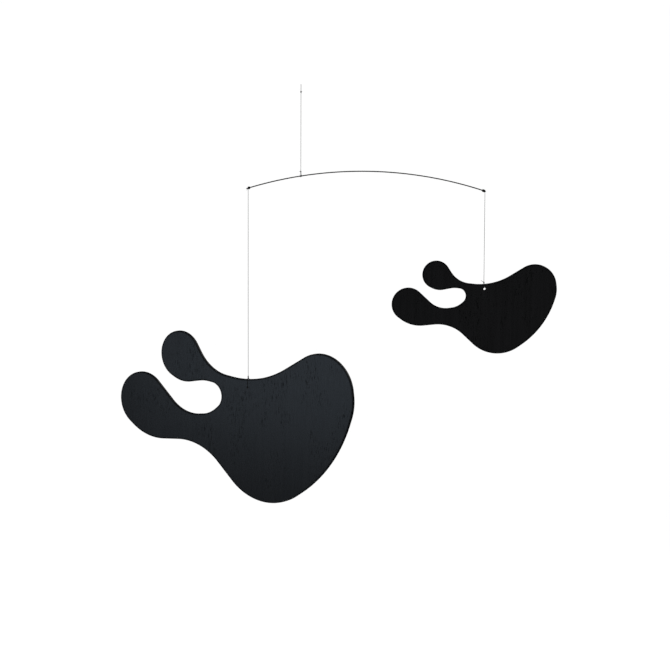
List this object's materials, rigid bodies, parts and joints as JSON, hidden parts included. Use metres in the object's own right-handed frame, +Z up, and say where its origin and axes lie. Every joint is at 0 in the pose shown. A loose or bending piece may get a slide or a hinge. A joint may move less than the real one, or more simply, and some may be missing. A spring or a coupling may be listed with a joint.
{
  "type": "hanging mobile sculpture",
  "caption": "Hanging mobile: flat rounded plywood shapes in black stain, balanced on fine threads from the ends of a bowed wire arm.",
  "frame": {"origin": "top of the hanging loop, where it bears on a hook; everything hangs below it", "axes": "+Z up, +X along the arm towards the small panel's end, -Y the front"},
  "size_m": [0.5991, 0.2293, 0.5648],
  "materials": {
    "black_stained_wood": "plywood stained black, satin, upright grain just visible, edges darker",
    "spring_steel": "drawn spring-steel wire, blackened",
    "black_thread": "twisted polyester sewing thread, black, slightly waxed"
  },
  "bodies": {
    "root": {"arm": "spring_steel", "large_panel": "black_stained_wood", "small_panel": "black_stained_wood", "hanging_thread": "black_thread", "large_panel_thread": "black_thread", "small_panel_thread": "black_thread"}
  },
  "joints": []
}
